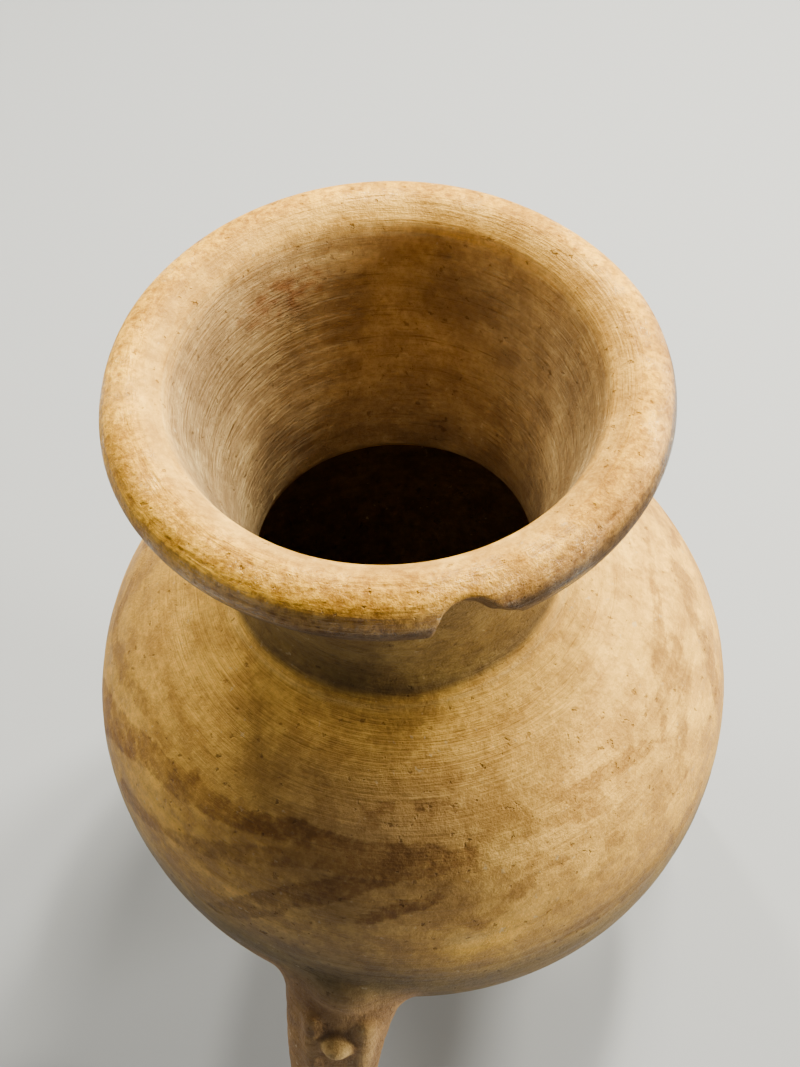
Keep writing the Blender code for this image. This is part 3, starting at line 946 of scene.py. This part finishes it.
def noise(tree, place, scale, detail, roughness=0.5, stretch=(1.0, 1.0, 1.0)):
    scaled = node(tree, "ShaderNodeVectorMath", {0: place, 1: stretch}, operation="MULTIPLY").outputs[0]
    inputs = {"Vector": scaled, "Scale": scale, "Detail": detail, "Roughness": roughness}
    return node(tree, "ShaderNodeTexNoise", inputs).outputs[0]


def layer(tree, name):
    """The layer of this name that the mesh stores."""
    return node(tree, "ShaderNodeAttribute", {}, attribute_name=name).outputs


def parts_of(tree, name):
    """The three numbers that this layer holds."""
    return tuple(node(tree, "ShaderNodeSeparateXYZ", {0: layer(tree, name)["Vector"]}).outputs)


def varied(tree, colour, share, tones):
    """The colour multiplied by a tone between the dark and the light one."""
    return mix(tree, 1.0, colour, mix(tree, share, *tones), "MULTIPLY")


def toned(tree, share, colour, tone):
    """The colour, multiplied by the tone to this share."""
    return mix(tree, share, colour, mix(tree, 1.0, colour, tone, "MULTIPLY"))


def clay_noises(tree):
    """The noises that the clay's colour, shine and relief share. The rings follow the potter's turning."""
    place = node(tree, "ShaderNodeTexCoord", {}).outputs["Object"]
    turning = layer(tree, "turning")["Vector"]
    return SimpleNamespace(
        mottle=noise(tree, place, 38.0, 6.0, 0.62),
        cloud=noise(tree, place, 13.0, 4.0, 0.55),
        grain=noise(tree, place, 1250.0, 2.0),
        rings=noise(tree, turning, 1.0, 4.0, 0.62, (1.9, 1.9, 210.0)),
        fine_rings=noise(tree, turning, 1.0, 3.0, 0.65, (3.4, 3.4, 1150.0)),
        drags=noise(tree, place, 1.0, 3.0, 0.6, (900.0, 900.0, 60.0)),
        crumbs=noise(tree, place, 330.0, 3.0, 0.55),
        wear=noise(tree, place, 95.0, 5.0, 0.68),
        fleck=noise(tree, place, 420.0, 6.0, 0.72),
        blotch=noise(tree, place, 520.0, 5.0, 0.70),
    )


def fired_colour(tree, n, crest, ringed):
    """The clay's own colour, with clouds from the firing, mottles, flecks, burnt grains and fine grooves."""
    colour = layer(tree, "tint")["Color"]
    colour = varied(tree, colour, step(tree, n.cloud, 0.36, 0.64), CLOUD_TONES)
    colour = varied(tree, colour, step(tree, n.mottle, 0.34, 0.66), MOTTLE_TONES)
    colour = varied(tree, colour, step(tree, n.rings, 0.34, 0.66), RING_TONES)
    flecked = varied(tree, colour, step(tree, n.fleck, 0.36, 0.62), FLECK_TONES)
    colour = mix(tree, times_plus(tree, crest, 0.50, 0.35), colour, flecked)
    colour = varied(tree, colour, step(tree, n.wear, 0.42, 0.58), WEAR_TONES)
    burnt = times(tree, step(tree, n.blotch, 0.50, 0.40), times_plus(tree, crest, 0.30, 0.12))
    colour = toned(tree, burnt, colour, BURNT_TONE)
    depth = larger(tree, step(tree, ringed, 0.0, 1.0, 0.35, 0.95), times(tree, crest, 0.7))
    grooves = times(tree, step(tree, n.fine_rings, 0.42, 0.30), depth)
    return toned(tree, grooves, colour, GROOVE_TONE)


def brushed(tree, n):
    """Share of the pigment's cover: ragged at a stroke's edges, thin where it is worn, off the bare strokes."""
    far, strength, far_bare = parts_of(tree, "paint")
    ragged = times_plus(tree, centred(tree, n.wear), 5.0, far)
    ragged = times_plus(tree, centred(tree, n.fine_rings), 2.4, ragged)
    bare = times_plus(tree, centred(tree, n.wear), 3.0, far_bare)
    cover = times(tree, step(tree, ragged, 0.8, -0.7), step(tree, bare, -0.8, 0.8, 0.12, 1.0))
    cover = times(tree, cover, strength)
    cover = times(tree, cover, step(tree, n.wear, 0.30, 0.60, 1.0, 0.75))
    return times(tree, cover, step(tree, n.fleck, 0.62, 0.48, 0.70, 1.0))


def specked(tree, n, colour, speck):
    """The colour with dark crumbs of temper in it, and with chalky grains in its paler mottles."""
    colour = toned(tree, times(tree, speck, 0.55), colour, CRUMB_TONE)
    chalk = times(tree, step(tree, n.crumbs, 0.34, 0.29), step(tree, n.mottle, 0.45, 0.6))
    return mix(tree, times(tree, chalk, 0.45), colour, CHALK)


def roughness(tree, n, polish, crest, cover):
    """Smoother on the polished crest, and a little rougher under the pigment."""
    rough = step(tree, n.wear, 0.35, 0.65, 0.44, 0.60)
    rough = times_plus(tree, polish, -0.28, rough)
    rough = times_plus(tree, crest, -0.06, rough)
    return times_plus(tree, cover, 0.06, rough)


def relief(tree, n, speck, crest, ringed, leg_share):
    """Rings, grain and wear, deeper where the slip is worn, with pits at the crumbs and drags down the legs."""
    worn = larger(tree, ringed, times(tree, crest, 0.5))
    height = times_plus(tree, n.fine_rings, 0.55, times(tree, n.grain, 0.30))
    height = times_plus(tree, n.rings, 0.60, height)
    height = times_plus(tree, n.wear, 0.55, height)
    height = times_plus(tree, speck, -0.70, height)
    height = times_plus(tree, n.fleck, times_plus(tree, worn, 0.7, 0.6), height)
    height = times_plus(tree, n.fine_rings, times(tree, worn, 1.8), height)
    height = times_plus(tree, times(tree, n.drags, leg_share), 0.8, height)
    return node(tree, "ShaderNodeBump", {"Height": height, "Strength": 0.9, "Distance": 0.00070}).outputs[0]


def clay():
    material = bpy.data.materials.new("burnished_clay_fine")
    material.use_nodes = True
    tree = material.node_tree
    n = clay_noises(tree)
    crest, ringed, leg_share = parts_of(tree, "finish")
    cover = brushed(tree, n)
    speck = step(tree, n.crumbs, 0.66, 0.72)
    polish = times(tree, crest, step(tree, n.mottle, 0.46, 0.58))
    pigment = mix(tree, step(tree, n.cloud, 0.35, 0.65), *PIGMENT_TONES)
    colour = toned(tree, cover, fired_colour(tree, n, crest, ringed), pigment)
    surface = {
        "Base Color": specked(tree, n, colour, speck),
        "Roughness": roughness(tree, n, polish, crest, cover),
        "Specular IOR Level": times_plus(tree, polish, 0.35, 0.16),
        "Normal": relief(tree, n, speck, crest, ringed, leg_share),
    }
    for name, value in surface.items():
        tree.links.new(value, tree.nodes["Principled BSDF"].inputs[name])
    return material


def plain(name, colour, roughness):
    """A material of one colour."""
    material = bpy.data.materials.new(name)
    material.use_nodes = True
    shader = material.node_tree.nodes["Principled BSDF"]
    shader.inputs["Base Color"].default_value = (*colour, 1.0)
    shader.inputs["Roughness"].default_value = roughness
    return material


def stage():
    mesh = bpy.data.meshes.new("floor")
    corners = [(x * FLOOR_HALF, y * FLOOR_HALF, 0) for x, y in ((-1, -1), (1, -1), (1, 1), (-1, 1))]
    mesh.from_pydata(corners, [], [(0, 1, 2, 3)])
    floor = bpy.data.objects.new("floor", mesh)
    bpy.context.scene.collection.objects.link(floor)
    mesh.materials.append(plain("pale_floor", FLOOR_COLOUR, FLOOR_ROUGHNESS))


def lamp(name, azimuth, height, size, power, colour):
    """A soft disc of light that faces the jar from this azimuth and height angle."""
    turn, rise = math.radians(azimuth), math.radians(height)
    way = Vector((math.cos(turn) * math.cos(rise), math.sin(turn) * math.cos(rise), math.sin(rise)))
    light = bpy.data.lights.new(name, "AREA")
    light.shape = "DISK"
    light.size = size
    light.energy = power
    light.color = colour
    obj = bpy.data.objects.new(name, light)
    obj.location = LAMP_AIM + LAMP_DISTANCE * way
    obj.rotation_euler = (LAMP_AIM - obj.location).to_track_quat("-Z", "Y").to_euler()
    bpy.context.scene.collection.objects.link(obj)


def light():
    world = bpy.data.worlds.new("studio")
    world.use_nodes = True
    world.node_tree.nodes["Background"].inputs["Color"].default_value = (1.0, 1.0, 1.0, 1.0)
    world.node_tree.nodes["Background"].inputs["Strength"].default_value = SKY_STRENGTH
    bpy.context.scene.world = world
    for row in LAMPS:
        lamp(*row)


def view_axes():
    """The camera's directions to the side, up and ahead."""
    flat = math.cos(VIEW_PITCH)
    ahead = Vector((math.sin(VIEW_YAW) * flat, math.cos(VIEW_YAW) * flat, -math.sin(VIEW_PITCH)))
    right = Vector((math.cos(VIEW_YAW), -math.sin(VIEW_YAW), 0.0))
    over = right.cross(ahead)
    side = math.cos(VIEW_ROLL) * right + math.sin(VIEW_ROLL) * over
    up = -math.sin(VIEW_ROLL) * right + math.cos(VIEW_ROLL) * over
    about = Matrix.Rotation(VIEW_TURN, 3, "Z")
    return about @ side, about @ up, about @ ahead


def camera():
    data = bpy.data.cameras.new("photo_view")
    data.sensor_fit = "VERTICAL"
    data.sensor_height = SENSOR_HEIGHT
    data.lens = FOCAL_LENGTH
    obj = bpy.data.objects.new("photo_view", data)
    side, up, ahead = view_axes()
    place = Matrix((side, up, -ahead)).transposed().to_4x4()
    place.translation = Vector(VIEW_PLACE)
    obj.matrix_world = place
    bpy.context.scene.collection.objects.link(obj)
    bpy.context.scene.camera = obj


jar = fine_jar()
jar.data.materials.append(clay())
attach(jar, "root")
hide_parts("jar")
stage()
light()
camera()
